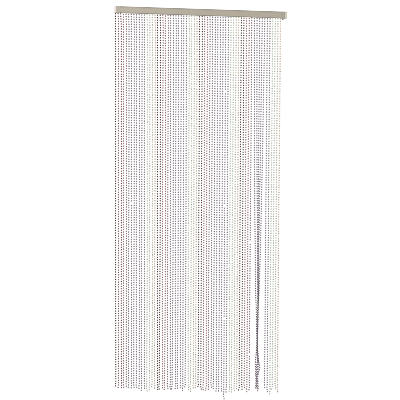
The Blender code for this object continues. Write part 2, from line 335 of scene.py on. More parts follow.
@dataclass(frozen=True)
class BeadFinish(Finish):
    """Moulded bead plastic. Each bead has its own shade, a faint seam and painted shade at its ends."""

    roughness: float = 0.24
    scale: float = 900.0
    depth: float = 0.01 * MM
    mottle: float = 0.3
    milkiness: float = 0.12
    specular: float = 0.35
    grain_shade: float = 0.25
    seam_width: float = 0.07
    seam_shade: float = 0.35
    # Painted shadow of the hole: where the darkening of the ends starts, and how dark it gets.
    hole_shadow_start: float = 0.72
    painted_hole_shadow: float = -0.9

    def shade(self, nodes: Nodes, mask: bpy.types.NodeSocket) -> bpy.types.NodeSocket:
        """Adds the bead's own shade, its seam and the painted shade at its ends to the grain.

        The seam is a line of seam_width round the bead's middle. The ends, near the hole, get a painted
        shadow that fades in over the last part of the way to the poles. Both are read from the height
        stored on the bead. The bead's own shade also carries the rope's painted shadow.
        """
        own = nodes.add("ShaderNodeAttribute", attribute_name="bead_shade").outputs["Fac"]
        height = nodes.add("ShaderNodeAttribute", attribute_name="bead_height").outputs["Fac"]
        away = nodes.maths("ABSOLUTE", height)
        near = nodes.maths("DIVIDE", away, self.seam_width)
        seam = nodes.maths("SUBTRACT", 1.0, near, clamp=True)
        # The painted shadow of the hole, fading in towards the poles.
        past = nodes.maths("SUBTRACT", away, self.hole_shadow_start)
        end = nodes.maths("DIVIDE", past, 1 - self.hole_shadow_start, clamp=True)
        shade = nodes.maths("ADD", own, super().shade(nodes, mask))
        shade = nodes.maths("MULTIPLY_ADD", seam, self.seam_shade, shade)
        return nodes.maths("MULTIPLY_ADD", end, self.painted_hole_shadow, shade)


# Strands

class Bead(NamedTuple):
    """A tone of bead: its colour and the pitch on its thread."""

    colour: Triple
    pitch: float


class Tone(Enum):
    """The tones of bead in the curtain's repeat."""

    WINE = Bead((0.080, 0.010, 0.006), 12.88 * MM)
    DUSK = Bead((0.265, 0.135, 0.125), 12.88 * MM)
    CLARET = Bead((0.215, 0.045, 0.048), 12.87 * MM)
    ROSE = Bead((0.405, 0.185, 0.200), 12.87 * MM)
    MAUVE = Bead((0.310, 0.185, 0.215), 12.73 * MM)
    HEATHER = Bead((0.265, 0.195, 0.245), 12.72 * MM)
    LILAC = Bead((0.285, 0.232, 0.300), 12.72 * MM)
    VIOLET = Bead((0.295, 0.235, 0.292), 12.72 * MM)
    SMOKE = Bead((0.270, 0.240, 0.255), 12.72 * MM)
    SAGE = Bead((0.610, 0.680, 0.560), 12.82 * MM)
    STRAW = Bead((0.630, 0.605, 0.445), 12.83 * MM)
    PEACH = Bead((0.685, 0.575, 0.455), 12.88 * MM)


REPEAT = (
    Tone.WINE, Tone.WINE, Tone.ROSE, Tone.ROSE, Tone.MAUVE, Tone.HEATHER, Tone.HEATHER, Tone.LILAC,
    Tone.LILAC, Tone.LILAC, Tone.VIOLET, Tone.SMOKE, Tone.SAGE, Tone.SAGE, Tone.STRAW, Tone.PEACH,
)

# The first repeat has two strands in a tone of their own.
ODD_TONES = {1: Tone.DUSK, 2: Tone.CLARET}


class Section(NamedTuple):
    """Where the tangled strands are at one height, in millimetres.

    The places are those of the strands of TANGLED in turn. Across is counted from the line on
    which the middle one would hang, and depth from the curtain's plane.
    """

    drop: float
    across: tuple[float, ...]
    depth: tuple[float, ...]


TANGLED = (53, 54, 55, 56, 57)
TANGLE = tuple(Section(*row) for row in (
    (0, (-27.3, -13.65, 0, 13.65, 27.3), (0, 0, 0, 0, 0)),
    (260, (-25.0, -12.2, 0.6, 12.2, 25.2), (0, 0, 0, 0, 0)),
    (570, (-22.6, -10.1, 0.2, 10.2, 21.8), (0, 0, 0, 0, 0)),
    (730, (-21.4, -8.3, 0.8, 10.2, 20.6), (0, 0.5, 0, -0.5, 0)),
    (890, (-19.6, -6.4, 0.9, 7.4, 18.1), (0, 1.5, 0, -1.5, 0)),
    (1045, (-17.3, -3.6, 1.5, 6.2, 16.0), (0, 3.5, 0, -3.5, -1)),
    (1205, (-13.8, -1.3, 1.3, 4.0, 13.2), (1, 4.6, 0, -4.6, -4)),
    (1365, (-11.2, 0.0, 2.1, 4.2, 9.5), (5, 4.8, 0, -4.8, -7)),
    (1445, (-9.2, 1.6, 3.6, 4.6, 6.8), (8, 5.0, 0.2, -4.9, -9.6)),
    (1525, (-5.4, 2.0, 4.2, 2.2, 4.0), (9, 4.9, 0.0, -4.9, -10.0)),
    (1605, (-3.6, 1.4, 3.6, 1.4, 3.4), (9.2, 5.0, -0.1, -5.2, -10.3)),
    (1685, (-1.2, 1.6, -0.4, 1.8, -0.2), (9.6, 4.9, -0.2, -5.3, -10.4)),
    (1735, (-1.4, 1.3, -0.8, 1.6, -0.6), (9.4, 4.8, -0.2, -5.2, -10.1)),
    (1765, (-3.2, 1.0, 0.2, 5.0, 1.2), (8, 4.6, -0.6, -3.4, -7.8)),
    (1812, (-7.7, 3.0, 3.5, 8.8, 6.4), (6, 4.6, -0.7, -2.6, -7.6)),
    (1829, (-7.6, -0.6, 3.1, 13.8, 7.0), (6, 4.5, -0.6, -1.0, -6.2)),
    (1845, (-7.0, -2.1, 2.7, 15.5, 5.6), (5.6, 3.6, -0.5, 0.0, -6.2)),
    (1861, (-6.8, -1.0, 3.0, 12.9, 7.0), (5.6, 3.6, -0.5, 0.0, -6.0)),
    (1877, (-7.0, -1.5, 2.2, 7.2, 4.6), (5.6, 3.9, -1.0, 1.2, -6.3)),
    (1893, (-5.0, -0.8, 1.8, 6.0, 3.6), (6.8, 3.6, -1.1, 2.0, -6.3)),
    (1925, (-3.2, 0.2, 1.6, 6.0, 3.8), (7.4, 3.3, -1.9, 1.2, -7.0)),
    (1941, (-5.0, -0.5, 1.0, 7.0, 3.2), (6.2, 3.2, -2.0, 0.0, -7.0)),
    (1973, (-9.0, -2.5, 1.5, 8.0, 4.0), (4.0, 2.8, -1.5, 0.0, -6.5)),
))

# Winding takes up thread, so the beads of the rope's strands end up beside one another's gaps.
# This is the part of a bead's pitch that each strand of TANGLED has moved up by.
TAKEN_UP = (0.6, 0.2, 0.8, 0.4, 0.0)

# How much lower or higher than the rest some strands end.
UNEVEN_ENDS = (
    (45 * MM, (42,)),
    (20 * MM, (60,)),
    (10 * MM, (10, 12, 13)),
    (8 * MM, (26, 28, 29, 39, 40, 41, 43, 44, 45, 46, 51)),
    (-7 * MM, (4, 18, 23, 24, 25, 27, 38, 47)),
    (-11 * MM, (14, 30, 31, 37, 61, 62)),
    (-18 * MM, (32, 50, 54, 58)),
)


class Drifts(NamedTuple):
    """Shifts that change smoothly down each strand, in millimetres at its top, middle and end.

    Each column has one number for each strand from the left. Lines end where a repeat does.
    """

    top: tuple[float, ...]
    middle: tuple[float, ...]
    end: tuple[float, ...]

    def at(self, number: int, part: Array) -> Array:
        """A strand's shift a part of the way down it, on the parabola through its three numbers."""
        top, middle, end = (column[number] for column in self)
        return MM * (top * (1 - part) * (1 - 2 * part) + middle * 4 * part * (1 - part)
                     + end * part * (2 * part - 1))


# How much lower than evenly strung ones a strand's beads sit.
SLACKS = Drifts(
    top=(
        3.2, -2.2, -2.4, 1.1, -1.5, -0.8, -2.4, -0.4, 0.1, -1.1, -0.3, -0.5, -2.5, 0.0, -2.7, -1.3,
        -1.5, -1.6, -2.6, 0.8, -1.5, -0.9, -1.3, -0.8, -1.5, -1.4, -1.4, -1.5, -1.4, -2.4, -1.3, -3.1,
        -1.4, -2.2, -1.7, 1.0, -1.5, -0.5, 0.4, -0.3, 0.2, 0.0, -0.7, -0.7, -1.4, -1.4, -3.0, -3.0,
        -1.3, -1.3, 0.5, -1.0, -3.2, -0.8, -2.3, -0.6, -0.8, -0.3, -1.7, -1.6, -2.9, -2.7, -3.2, -4.1,
        -2.1,
    ),
    middle=(
        10.5, -2.9, 3.6, -0.1, -4.0, 0.2, 1.4, -0.3, -0.1, 2.9, 0.9, 2.2, 4.7, 0.5, 5.0, -2.0,
        0.0, -1.8, 2.9, -0.8, 0.5, -4.4, 1.4, 1.3, 0.3, -0.7, -0.1, -2.9, 0.8, 6.0, 1.0, 3.3,
        3.4, 2.4, -4.2, 0.4, 0.9, -3.1, -0.4, 0.3, 0.1, 0.0, 1.5, 1.3, 2.0, 2.7, 6.6, 3.0,
        -2.7, 1.2, 1.2, -3.8, -1.0, -0.8, -2.3, -0.6, -0.8, -0.3, 0.0, -0.5, 4.6, 4.6, 2.2, 1.9,
        -2.1,
    ),
    end=(
        13.3, -10.7, 4.9, 1.9, -8.2, -0.7, 2.3, -1.1, -1.3, 3.0, 0.6, 2.1, 1.6, -5.0, 1.1, -11.9,
        -2.9, -7.4, 0.9, -1.1, -0.7, -8.8, 2.6, -0.2, -1.8, -4.5, -2.2, -9.1, -9.3, -1.2, -9.3, -4.0,
        1.8, 2.1, -6.1, -2.3, -0.7, -9.8, -3.6, -3.0, -3.7, -3.9, 0.4, 0.6, -3.9, -2.2, 1.3, -4.4,
        -10.0, -1.5, 3.5, -1.2, -2.4, -0.8, -2.3, -0.6, -0.8, -0.3, -2.9, -4.1, 3.0, 2.8, -3.1, -4.0,
        -2.1,
    ),
)

# How far to the right of the plumb line under its seat a strand hangs.
LEANS = Drifts(
    top=(
        0.3, 2.7, 3.2, 0.5, 3.1, 2.3, 0.8, 2.7, 0.3, 1.9, 2.5, -0.1, 2.3, 1.6, 0.3, 3.2,
        -0.4, 2.0, 2.7, -0.8, 3.8, -0.2, 1.2, 2.8, -0.9, 3.2, -0.3, 0.8, 3.2, -0.9, 2.5, 0.9,
        0.6, 1.9, 0.1, 2.1, 1.2, 0.5, 1.1, 0.5, 0.6, 0.6, -0.1, 1.0, 1.1, 0.1, 1.0, -0.5,
        0.1, -0.4, -0.2, 0.5, -0.5, 0.0, 0.0, 0.0, 0.0, 0.0, -0.7, -0.1, 0.1, -0.5, 0.4, -0.4,
        0.0,
    ),
    middle=(
        1.1, 2.1, 3.7, 1.2, 3.1, 2.0, 2.0, 2.3, 0.9, 3.1, 1.2, 2.0, 3.4, 1.6, 3.3, 1.9,
        2.1, 2.5, 1.2, 3.0, 1.2, 2.1, 2.4, 1.1, 2.3, 0.9, 1.7, 1.7, 1.5, 2.7, 1.7, 1.6,
        1.4, 1.2, 1.4, 1.2, 0.9, 0.9, 0.6, 0.8, 1.0, 0.5, 0.8, 0.7, 0.9, 1.0, 0.3, 1.2,
        0.1, 0.5, 0.7, 0.4, 0.5, 0.0, 0.0, 0.0, 0.0, 0.0, 0.0, -0.3, 0.5, -0.1, -0.3, 0.2,
        0.0,
    ),
    end=(
        1.5, 2.9, 4.2, 1.2, 3.6, 0.7, 2.6, 1.8, 1.1, 3.6, 1.0, 2.9, 2.4, 2.1, 2.6, 1.9,
        3.9, 0.2, 4.2, 0.3, 3.5, 3.1, 0.1, 4.2, -0.5, 4.2, 1.3, 0.6, 4.2, 0.4, 4.0, 1.5,
        1.1, 3.3, 0.4, 4.2, 1.2, 1.9, 1.4, 2.3, 1.7, 2.7, 1.2, 1.7, 3.9, 0.9, 3.4, 1.4,
        1.7, 2.2, 0.3, 2.6, 0.2, 0.0, 0.0, 0.0, 0.0, 0.0, -0.1, 1.6, 1.3, 0.4, 2.8, 0.3,
        0.0,
    ),
)

# Beads that have come off: the strand and how far down it is bare.
LOST_BEADS = (
    (6, 985 * MM), (42, 395 * MM), (42, 993 * MM), (42, 1587 * MM), (52, 1180 * MM), (52, 1775 * MM),
)


@dataclass(frozen=True)
class RailSizes:
    """The rail's sizes, as the CAD model has them, with the brow that rounds its top front edge."""

    span: float = 900 * MM
    height: float = 33 * MM
    depth: float = 18 * MM
    wall: float = 1.5 * MM
    corner: float = 2.5 * MM
    brow: float = 5 * MM
    tilt: float = np.radians(1.316)
    slot: float = 7 * MM
    step_drop: float = 6 * MM
    step_height: float = 1.2 * MM
    step_sink: float = 0.5 * MM
    fit_gap: float = 0.3 * MM
    cap_wall: float = 0.9 * MM
    cap_end: float = 10.5 * MM
    cap_apron: float = 21 * MM
    cap_slot: float = 8 * MM
    strip_thick: float = 2 * MM

    @property
    def strip_rise(self) -> float:
        """How far above the rail's underside the middle of the strips inside it lies."""
        return self.wall + self.fit_gap + self.strip_thick / 2

    def tilted(self, points: Array) -> Array:
        """Turns points from the rail's own frame into the curtain's, about the Y axis."""
        cosine, sine = np.cos(self.tilt), np.sin(self.tilt)
        x, y, z = points[..., 0], points[..., 1], points[..., 2]
        return np.stack([x * cosine + z * sine, y, z * cosine - x * sine], axis=-1)


RAIL = RailSizes()


@dataclass(frozen=True)
class Strand:
    """One strand: where it hangs, the line it follows and its beads' tone.

    The strand FIRST slips out beside its cap, LAST is the stub, and MIDDLE is the middle one of
    those that are tangled.
    """

    number: int
    pitch_across: float = 13.652 * MM
    first_across: float = -443.25 * MM
    usual_drop: float = 1973 * MM
    stub_drop: float = 9 * MM
    stub_lean: float = -2.6 * MM
    mouth_drop: float = 2 * MM
    side_seat: float = 8.8 * MM
    side_seat_drop: float = 5.5 * MM
    lean_start: float = 70 * MM
    sway: float = 0.7 * MM
    sway_wave: float = 1.3
    kink: float = 2 * MM
    kink_length: float = 60 * MM
    kink_turns: float = 1.1
    kink_depth: float = 0.5
    step: float = 1 * MM

    FIRST = 0
    LAST = 64
    MIDDLE = 55

    @property
    def tone(self) -> Tone:
        """The tone of its beads."""
        return ODD_TONES.get(self.number, REPEAT[self.number % len(REPEAT)])

    @property
    def tangled(self) -> bool:
        """Whether it is one of the five that are wound together."""
        return self.number in TANGLED

    @property
    def end(self) -> float:
        """How far below the rail it ends."""
        if self.number == self.LAST:
            return self.stub_drop
        extra = [more for more, strands in UNEVEN_ENDS if self.number in strands]
        return self.usual_drop + sum(extra)

    @property
    def seat(self) -> float:
        """Its place along the rail, where it comes out of the slot."""
        shift = self.side_seat if self.number == self.FIRST else 0.0
        return self.first_across + self.pitch_across * self.number + shift

    def hang_line(self, number: int) -> Array:
        """The point on the rail's underside from which a strand's plumb line drops."""
        along = self.first_across + self.pitch_across * number
        return RAIL.tilted(np.array([along, -RAIL.depth / 2, -RAIL.height / 2]))

    def free_place(self, drop: Array) -> tuple[Array, Array]:
        """The shift across and in depth of a strand that hangs free.

        The lean is the strand's own, once it is clear of the rail. The sway is a sine down the
        strand that grows with the drop. The kink is a sine and a cosine that grow over its last
        few beads. They start from the strand's phase, from twice and from three times it, so that
        no two neighbours move alike.
        """
        phase = self.number * GOLDEN_TURN
        clear = np.clip(drop / self.lean_start, 0, 1)
        lean = clear * LEANS.at(self.number, drop / self.usual_drop)
        sway = self.sway * np.sin(phase + self.sway_wave * TAU * drop / self.end) * drop / self.end
        into = np.clip(1 - (self.end - drop) / self.kink_length, 0, None)
        turned = self.kink_turns * TAU * into
        across = self.kink * into * np.sin(2 * phase + turned)
        depth = self.kink * into * np.cos(3 * phase + turned) * self.kink_depth
        return lean + sway + across, depth

    def tangle_place(self, drop: Array) -> tuple[Array, Array]:
        """The shift across and in depth of a tangled strand, on straight lines between sections."""
        turn = TANGLED.index(self.number)
        rows = [(section.drop, section.across[turn], section.depth[turn]) for section in TANGLE]
        drops, across, depth = MM * np.array(rows).T
        return np.interp(drop, drops, across), np.interp(drop, drops, depth)

    def path(self) -> Array:
        """The points that its thread follows, from the strip in the channel to its end.

        The first two points are in the rail's frame, at the strip and just under the slot. The
        rest are one step apart down the plumb line, each moved by the strand's place. The stub's
        end leans to one side instead.
        """
        strip = -RAIL.height / 2 + RAIL.strip_rise
        mouth = -RAIL.height / 2 - self.mouth_drop
        top = RAIL.tilted(np.array([[self.seat, -RAIL.depth / 2, strip],
                                    [self.seat, -RAIL.depth / 2, mouth]]))
        line = self.hang_line(self.number)
        if self.number == self.LAST:
            return np.concatenate([top, [line + np.array([self.stub_lean, 0, -self.end])]])
        start = self.side_seat_drop if self.number == self.FIRST else self.mouth_drop + self.step
        drop = np.append(np.arange(start, self.end, self.step), self.end)
        if self.tangled:
            across, depth = self.tangle_place(drop)
            line[:2] = self.hang_line(self.MIDDLE)[:2]
        else:
            across, depth = self.free_place(drop)
        below = np.stack([line[0] + across, line[1] + depth, line[2] - drop], axis=1)
        return np.concatenate([top, below])


@dataclass(frozen=True)
class BeadShape:
    """The moulded bead: a ball on rings, a little flat at both ends, with small differences."""

    diameter: float = 7.7 * MM
    sides: int = 8
    ring_angles: tuple[float, ...] = (21, 52, 90, 128, 159)
    size_spread: float = 0.025
    place_spread: float = 0.25 * MM
    shade_spread: float = 0.5

    def template(self) -> Array:
        """The ball's points for a radius of 1, as (ring, side, axis).

        Each ring's radius is the sine of its angle from the pole, and its height the cosine.
        """
        polar = np.radians(self.ring_angles)[:, None]
        round_about = (TAU * np.arange(self.sides) / self.sides)[None]
        return np.stack([np.sin(polar) * np.cos(round_about), np.sin(polar) * np.sin(round_about),
                         np.cos(polar) * np.ones_like(round_about)], axis=-1)

    def place(self, centres: Array, upward: Array, chance: np.random.Generator, finish: int,
              stretch: float = 1.0, shift: float | Array = 0.0) -> Surface:
        """Puts a bead at each centre, turned onto its thread.

        A bead's own axes are its thread's direction, the direction to its right that is square to
        it, and the one square to both, spun by a random angle. A point is the centre plus the
        template's three coordinates times those axes and the bead's radius.

        Args:
            centres: The beads' centres.
            upward: The thread's direction at each, of length 1.
            chance: The source of the small differences.
            finish: The place of the beads' material.
            stretch: How much larger than usual the beads are.
            shift: How much lighter than usual they are, on the scale of their shades; the rope's
                painted shadow comes in here.

        Returns:
            The beads as one surface.
        """
        count = len(centres)

        def change(spread: float) -> Array:
            """A small random change of each bead, about zero."""
            return spread * np.clip(chance.normal(size=count), -CHANCE_LIMIT, CHANCE_LIMIT)

        right = np.cross(np.array([0.0, 1.0, 0.0]), upward)
        right /= np.linalg.norm(right, axis=1, keepdims=True)
        away = np.cross(upward, right)
        spin = chance.uniform(0, TAU, count)[:, None]
        first = right * np.cos(spin) + away * np.sin(spin)
        second = away * np.cos(spin) - right * np.sin(spin)
        axes = np.stack([first, second, upward], axis=1)
        radii = self.diameter / 2 * stretch * (1 + change(self.size_spread))
        ball = self.template().reshape(-1, 3)
        points = centres[:, None] + radii[:, None, None] * np.einsum("pk,nkd->npd", ball, axes)
        per_bead = len(ball)
        first_points = (per_bead * np.arange(count))[:, None, None]
        faces = [(rows[None] + first_points).reshape(-1, rows.shape[1])
                 for rows in lathe_faces(len(self.ring_angles), self.sides)]
        shades = shift + change(self.shade_spread)
        return Surface(points.reshape(-1, 3), faces, finish, np.repeat(shades, per_bead),
                       np.tile(ball[:, 2], count))


BEAD = BeadShape()


def travelled(path: Array) -> Array:
    """The distance along a path to each of its points: the lengths of the steps before it."""
    steps = np.linalg.norm(np.diff(path, axis=0), axis=1)
    return np.concatenate([[0.0], np.cumsum(steps)])


def along_path(path: Array, distances: Array) -> Array:
    """Points at given distances along a path, on the straight lines between its points."""
    reached = travelled(path)
    return np.stack([np.interp(distances, reached, path[:, axis]) for axis in range(3)], axis=1)


def upward_on(path: Array, distances: Array) -> Array:
    """The path's upward direction over a bead's length about given distances along it."""
    half = BEAD.diameter / 2
    upward = along_path(path, distances - half) - along_path(path, distances + half)
    return upward / np.linalg.norm(upward, axis=1, keepdims=True)


@dataclass
class StrandRun:
    """Neighbouring strands that replace one CAD node, with all their beads in one piece."""

    node: str
    slot: str
    numbers: list[int]
    finishes: dict[Tone, bpy.types.Material]
    seed: int = 20
    first_drop: float = 7.4 * MM
    lost_reach: float = 6.4 * MM
    winding_start: float = 500 * MM
    winding_end: float = 1400 * MM
    rope: tuple[float, ...] = (1350 * MM, 1480 * MM, 1740 * MM, 1830 * MM)
    # Painted shadow: how much the rope's beads are darkened where they lie against one another, in
    # shades.
    rope_painted_shadow: float = -1.0

    def bead_distances(self, strand: Strand, chance: np.random.Generator) -> Array:
        """How far along its path each of a strand's beads sits.

        The beads are a pitch apart from the first one down to the strand's end. Each is moved by
        the strand's slack there and a little by chance, and those that have come off are left
        out. On a tangled strand they also move up by the part of a pitch that the winding takes,
        bit by bit from its start to its end.
        """
        pitch = strand.tone.value.pitch
        inside = RAIL.strip_rise
        first = inside + self.first_drop
        last = inside + strand.end - BEAD.diameter / 2 - SLACKS.end[strand.number] * MM
        count = max(1, int(round((last - first) / pitch)) + 1)
        distances = first + pitch * np.arange(count)
        distances += SLACKS.at(strand.number, (distances - inside) / strand.usual_drop)
        if strand.tangled:
            wound = (distances - self.winding_start) / (self.winding_end - self.winding_start)
            distances -= TAKEN_UP[TANGLED.index(strand.number)] * pitch * np.clip(wound, 0, 1)
        kept = np.ones(count, dtype=bool)
        for number, drop in LOST_BEADS:
            if number == strand.number:
                kept &= np.abs(distances - inside - drop) > self.lost_reach
        return (distances + chance.normal(0, BEAD.place_spread, count))[kept]

    def painted_rope_shadow(self, strand: Strand, distances: Array) -> Array:
        """The painted shadow on a strand's beads where they lie against others in the rope, in shades.

        The rope closes between the first two of its places and opens between the last two.
        """
        return self.rope_painted_shadow * np.interp(distances, self.rope, (0, 1, 1, 0)) * strand.tangled

    def build(self) -> None:
        """Makes the run's beads and hides the CAD node they replace."""
        tones = list(dict.fromkeys(Strand(number).tone for number in self.numbers))
        surfaces = []
        for number in self.numbers:
            strand = Strand(number)
            chance = np.random.default_rng((self.seed, number))
            distances = self.bead_distances(strand, chance)
            path = strand.path()
            # The shift is the rope's painted shadow, where the beads lie against one another.
            surfaces.append(BEAD.place(along_path(path, distances), upward_on(path, distances), chance,
                                       tones.index(strand.tone),
                                       shift=self.painted_rope_shadow(strand, distances)))
        piece = make_piece(self.node + "_beads", surfaces, [self.finishes[tone] for tone in tones],
                           sharp_angle=70.0)
        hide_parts(self.node)


@dataclass
class Curtain:
    """All the strands: their beads by run, their threads and the strips that hold them."""

    bands: tuple[tuple[str, int], ...] = (
        ("wine", 2), ("rose", 3), ("lilac", 7), ("green", 2), ("amber", 2),
    )
    thread_radius: float = 0.35 * MM
    thread_sides: int = 4
    thread_step: float = 60 * MM
    tight_step: float = 10 * MM
    tight_length: float = 90 * MM
    knot_scale: float = 0.3
    knot_seed: int = 7
    strip_deep: float = 12 * MM
    strip_reach: float = 4.5 * MM
    strip_round: float = 0.6 * MM

    def runs(self) -> Iterator[tuple[str, str, list[int]]]:
        """The CAD's runs of strands from left to right, as node, material slot and numbers."""
        seat = 0
        repeat = 0
        while seat <= Strand.LAST:
            repeat += 1
            for band, size in self.bands:
                numbers = [number for number in range(seat, seat + size) if number <= Strand.LAST]
                seat += size
                tangled = [number for number in numbers if Strand(number).tangled]
                free = [number for number in numbers if number not in tangled]
                if tangled:
                    yield "tangled_strands", band + "_beads", tangled
                if free:
                    yield f"{band}_strands_{repeat}", band + "_beads", free

    def build_beads(self) -> None:
        """Makes the beads of every run."""
        finishes = {tone: BeadFinish(tone.name.lower() + "_bead_plastic", tone.value.colour).material()
                    for tone in Tone}
        for node, slot, numbers in self.runs():
            StrandRun(node, slot, numbers, finishes).build()

    def thread(self, strand: Strand) -> list[Surface]:
        """A strand's thread as a four-sided tube, with a knot at each end.

        Each ring is level: the path's point plus the radius times the cosine and sine of the
        side's angle. Rings are close together near the end and on the tangled strands.
        """
        path = strand.path()
        reached = travelled(path)
        total = reached[-1]
        calm = max(0.0, total - self.tight_length)
        wide = self.tight_step if strand.tangled else self.thread_step
        marks = np.unique(np.concatenate([
            reached[:3], np.arange(reached[2] + wide, calm, wide),
            np.arange(calm + self.tight_step, total, self.tight_step), [total],
        ]))
        angles = TAU * np.arange(self.thread_sides) / self.thread_sides
        ring = self.thread_radius * np.stack([np.cos(angles), np.sin(angles), 0 * angles], axis=1)
        points = (along_path(path, marks)[:, None] + ring[None]).reshape(-1, 3)
        knots = np.stack([path[0] + np.array([0, 0, RAIL.strip_thick / 2]), path[-1]])
        chance = np.random.default_rng((self.knot_seed, strand.number))
        knot = BEAD.place(knots, np.array([[0.0, 0.0, 1.0]] * 2), chance, 0, self.knot_scale)
        return [Surface(points, lathe_faces(len(marks), self.thread_sides)),
                Surface(knot.points, knot.faces)]

    def build_threads(self) -> None:
        """Makes every thread and its knots as one piece."""
        finish = Finish("clear_thread", (0.86, 0.87, 0.86), roughness=0.2, scale=2000.0,
                        depth=0.002 * MM, mottle=0.02, alpha=0.45)
        surfaces = [surface for number in range(Strand.LAST + 1)
                    for surface in self.thread(Strand(number))]
        piece = make_piece("threads", surfaces, [finish.material()], sharp_angle=100.0)

    def build_strips(self) -> None:
        """Makes the strips that lie on the channel's lips and hold the threads."""
        finish = Finish("strip_plastic", (0.70, 0.69, 0.65), roughness=0.35, scale=500.0, milkiness=0.2)
        middle = RAIL.strip_rise - RAIL.height / 2
        half = np.array([self.strip_reach, self.strip_deep / 2, RAIL.strip_thick / 2])
        surfaces = []
        for _, _, numbers in self.runs():
            first, last = [np.array([Strand(number).seat, -RAIL.depth / 2, middle])
                           for number in (numbers[0], numbers[-1])]
            strip = rounded_box(first - half, last + half, self.strip_round)
            surfaces.append(Surface(RAIL.tilted(strip.points), strip.faces))
        piece = make_piece("thread_strips", surfaces, [finish.material()])


# The rail and its caps

@dataclass
class Rail:
    """The extruded channel with the step along its front, its slot and its lips."""

    brow_steps: int = 12

    def profile(self) -> Array:
        """The section round the outside from one lip to the other, then back inside."""
        s = RAIL
        bottom, top, front, r = -s.height / 2, s.height / 2, -s.depth, s.corner
        lip_front, lip_back = (front - s.slot) / 2, (front + s.slot) / 2
        step_top, sunk = top - s.step_drop, front + s.step_sink
        step_bottom = step_top - s.step_height
        floor, roof, inner = bottom + s.wall, top - s.wall, front + s.wall
        return np.concatenate([
            [(lip_front, bottom)],
            arc((front + r, bottom + r), r, 270, 180),
            [(front, step_bottom), (sunk, step_bottom + s.step_sink)],
            [(sunk, step_top), (front, step_top)],
            arc((front + s.brow, top - s.brow), s.brow, 180, 90, self.brow_steps),
            arc((-r, top - r), r, 90, 0),
            arc((-r, bottom + r), r, 0, -90),
            [(lip_back, bottom), (lip_back, floor), (-s.wall, floor), (-s.wall, roof)],
            [(inner, roof), (inner, floor), (lip_front, floor)],
        ])

    def build(self) -> None:
        """Makes the channel between the caps' solid ends."""
        half = RAIL.span / 2 - RAIL.cap_end - RAIL.fit_gap
        body = swept(self.profile(), np.array([-half, half]))
        finish = Finish("champagne_anodised", (0.487, 0.445, 0.358), roughness=0.5, metallic=0.5,
                        stretch=(0.02, 1.0, 1.0), scale=1400.0, depth=0.03 * MM, mottle=0.10,
                        polish=0.14)
        piece = make_piece("rail_channel", [Surface(RAIL.tilted(body.points), body.faces)],
                           [finish.material()], sharp_angle=25.0)
        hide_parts("rail")


@dataclass
class EndCap:
    """A moulded cap: a solid end with soft edges, and a thin apron in front and below.

    The side is -1 on the left and 1 on the right. The apron ends at the angle apron_top, in
    degrees, on the rail's rounded top edge. Both caps are one plastic; the colours given carry
    painted light on the left cap and painted shade on the right one.
    """

    name: str
    side: int
    tint: str
    colour: Triple
    thin_colour: Triple
    edge: float = 1.0 * MM
    overlap: float = 0.5 * MM
    apron_top: float = 115.0

    def block(self) -> Surface:
        """The solid end, carried from inside to outside with its outer edge rounded.

        Over the last stretch the outline draws in by the edge radius times one minus the cosine
        of an angle, while the place along X moves on by the radius times its sine.
        """
        s = RAIL
        proud = s.fit_gap + s.cap_wall
        outline = rounded_outline(np.array([-s.depth - proud, -s.height / 2 - proud]),
                                  np.array([0.0, s.height / 2]), s.corner)
        turn = np.linspace(0, np.pi / 2, CORNER_STEPS + 1)
        inner, outer = s.span / 2 - s.cap_end, s.span / 2
        stations = np.concatenate([[inner], outer - self.edge + self.edge * np.sin(turn)])
        draw = np.concatenate([[0.0], self.edge * (1 - np.cos(turn))])
        return swept(outline, stations, draw)

    def apron(self) -> list[Surface]:
        """The thin wall in front of and under the rail, in two parts beside the slot.

        Each part's outline goes along its outer face and back along its inner face. Both faces
        follow the rail's own outline, moved out by the fit gap or by the whole wall.
        """
        s, r = RAIL, RAIL.corner
        inner_end = s.span / 2 - s.cap_end
        stations = np.array([inner_end - s.cap_apron, inner_end + self.overlap])
        middle, lip = -s.depth / 2, s.cap_slot / 2
        faces = []
        for out in (s.fit_gap + s.cap_wall, s.fit_gap):
            front, bottom = -s.depth - out, -s.height / 2 - out
            faces.append(np.concatenate([
                [(middle - lip, bottom)],
                arc((front + r, bottom + r), r, 270, 180),
                arc((front + r, s.height / 2 - r), r, 180, self.apron_top),
            ]))
        outer, inner = faces
        behind = np.array([(middle + lip, inner[0, 1]), (-r, inner[0, 1]),
                           (-r, outer[0, 1]), (middle + lip, outer[0, 1])])
        return [swept(np.concatenate([outer, inner[::-1]]), stations), swept(behind, stations)]

    def build(self) -> None:
        """Makes the cap on its side of the rail and hides the CAD's cap."""
        solid = Finish(self.tint + "_plastic", self.colour, roughness=0.32, scale=350.0,
                       milkiness=0.15, mottle=0.05)
        thin = Finish(f"thin_{self.tint}_plastic", self.thin_colour, roughness=0.3, scale=350.0,
                      mottle=0.05, alpha=0.4)
        surfaces = [self.block(), *self.apron()]
        for surface, finish in zip(surfaces, (0, 1, 1)):
            if self.side < 0:
                surface.points[:, 0] *= -1
                surface.faces = [rows[:, ::-1] for rows in surface.faces]
            surface.points = RAIL.tilted(surface.points)
            surface.finish = finish
        piece = make_piece(self.name + "_moulding", surfaces, [solid.material(), thin.material()])
        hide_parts(self.name)


# The studio

class Lamp(NamedTuple):
    """A square area light: where it hangs, what it shines on, its width and its power."""

    name: str
    place: Triple
    target: Triple
    size: float
    power: float


# A large soft key light at the front left and a weaker fill at the right.
LAMPS = (
    Lamp("key_light", (-3.0, -4.4, 1.8), (0.0, 0.0, -0.9), 2.6, 118.0),
    Lamp("fill_light", (3.2, -4.0, 0.6), (0.0, 0.0, -1.0), 3.0, 44.0),
)


def pose(place: Triple, forward: Array, right: Array) -> Matrix:
    """The matrix of a lamp or camera at a place, from the directions in front and to its right."""
    columns = np.eye(4)
    columns[:3] = np.stack([right, np.cross(right, forward), -forward, place], axis=1)
    return Matrix(columns.tolist())


